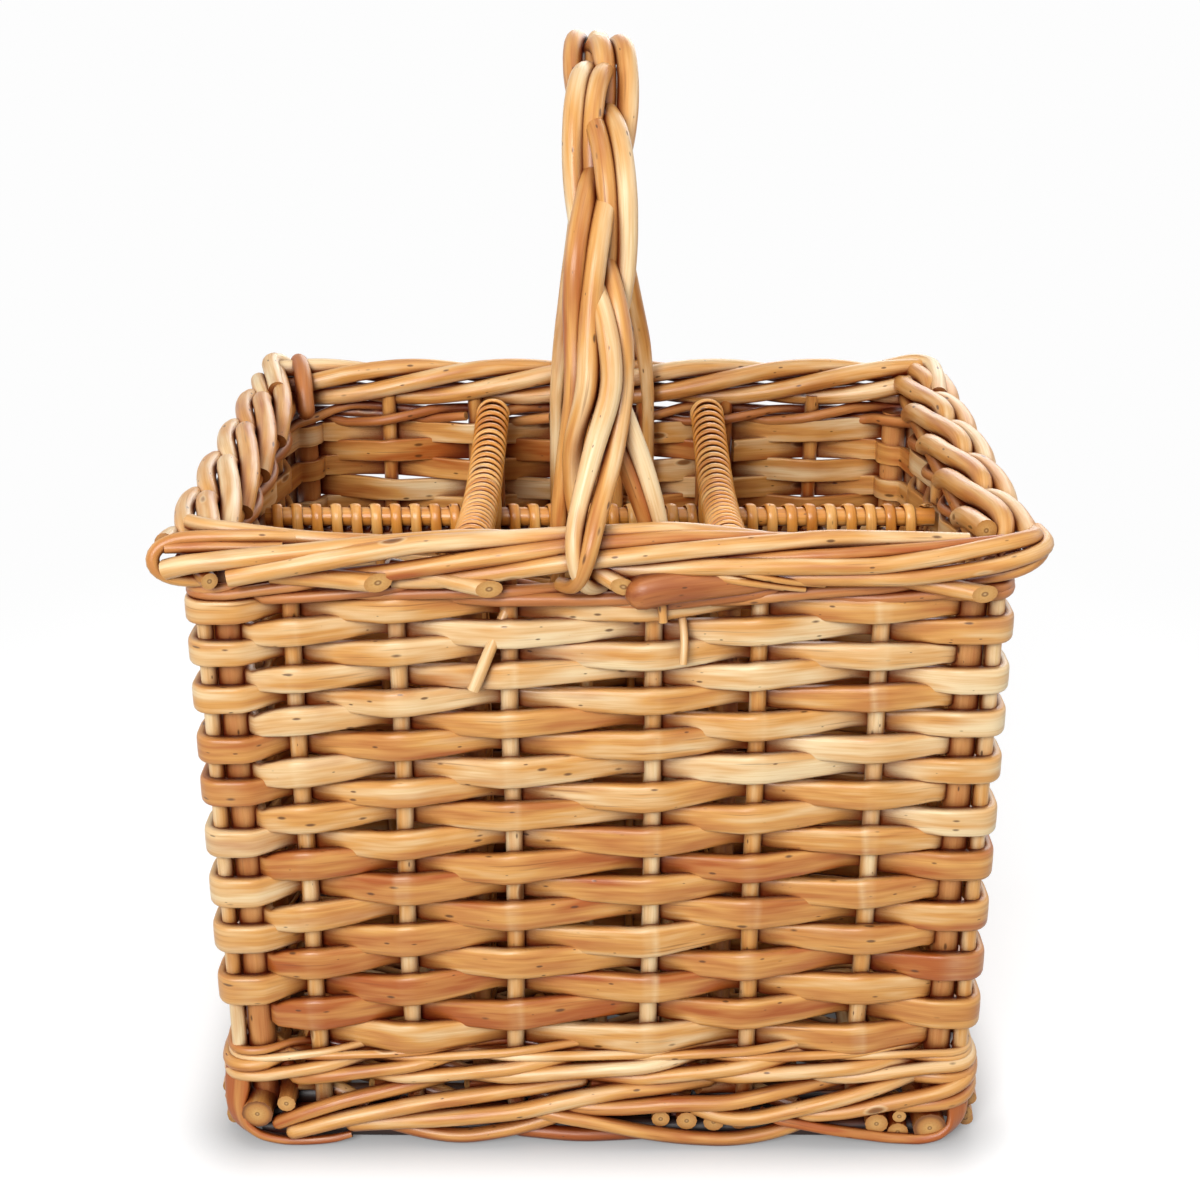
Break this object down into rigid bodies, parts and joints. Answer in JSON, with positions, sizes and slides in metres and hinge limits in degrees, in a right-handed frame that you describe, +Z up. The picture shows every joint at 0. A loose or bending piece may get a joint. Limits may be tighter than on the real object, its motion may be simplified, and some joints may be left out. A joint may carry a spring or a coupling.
{
  "type": "wine bottle basket",
  "caption": "Rectangular woven willow basket with an arched roped handle and woven dividers that part it into upright bays for wine bottles.",
  "frame": {"origin": "middle of the foot border's underside, on the table", "axes": "+Z up, +X along the long front towards the viewer's right, -Y towards the long front"},
  "size_m": [0.361, 0.273, 0.4852],
  "materials": {
    "buff_willow": "satin",
    "pale_willow": "satin",
    "red_willow": "satin",
    "split_cane": "satin"
  },
  "bodies": {
    "root": {"foot_border": "buff_willow", "base_weave": "buff_willow", "corner_post_front_left": "red_willow", "corner_post_front_right": "red_willow", "corner_post_back_right": "red_willow", "corner_post_back_left": "red_willow", "stake_front_1": "buff_willow", "stake_front_2": "buff_willow", "stake_front_3": "buff_willow", "stake_front_4": "buff_willow", "stake_front_5": "buff_willow", "stake_front_6": "buff_willow", "stake_right_1": "buff_willow", "stake_right_2": "buff_willow", "stake_right_3": "buff_willow", "stake_right_4": "buff_willow", "stake_back_1": "buff_willow", "stake_back_2": "buff_willow", "stake_back_3": "buff_willow", "stake_back_4": "buff_willow", "stake_back_5": "buff_willow", "stake_back_6": "buff_willow", "stake_left_1": "buff_willow", "stake_left_2": "buff_willow", "stake_left_3": "buff_willow", "stake_left_4": "buff_willow", "lower_wale": "buff_willow", "siding_course_01": "buff_willow", "siding_course_02": "buff_willow", "siding_course_03": "pale_willow", "siding_course_04": "buff_willow", "siding_course_05": "buff_willow", "siding_course_06": "pale_willow", "siding_course_07": "buff_willow", "siding_course_08": "buff_willow", "siding_course_09": "pale_willow", "siding_course_10": "buff_willow", "siding_course_11": "buff_willow", "siding_course_12": "pale_willow", "siding_course_13": "buff_willow", "siding_course_14": "buff_willow", "siding_course_15": "pale_willow", "siding_course_16": "buff_willow", "siding_course_17": "buff_willow", "siding_course_18": "pale_willow", "border_strand_1": "pale_willow", "border_strand_2": "pale_willow", "long_rail": "buff_willow", "long_rail_cane": "split_cane", "cross_rail_left": "buff_willow", "cross_rail_cane_left": "split_cane", "cross_rail_right": "buff_willow", "cross_rail_cane_right": "split_cane", "long_partition": "buff_willow", "cross_partition_left": "buff_willow", "cross_partition_right": "buff_willow", "handle_rod_1": "pale_willow", "handle_rod_2": "pale_willow", "handle_rod_3": "pale_willow", "handle_rod_4": "pale_willow"}
  },
  "joints": []
}
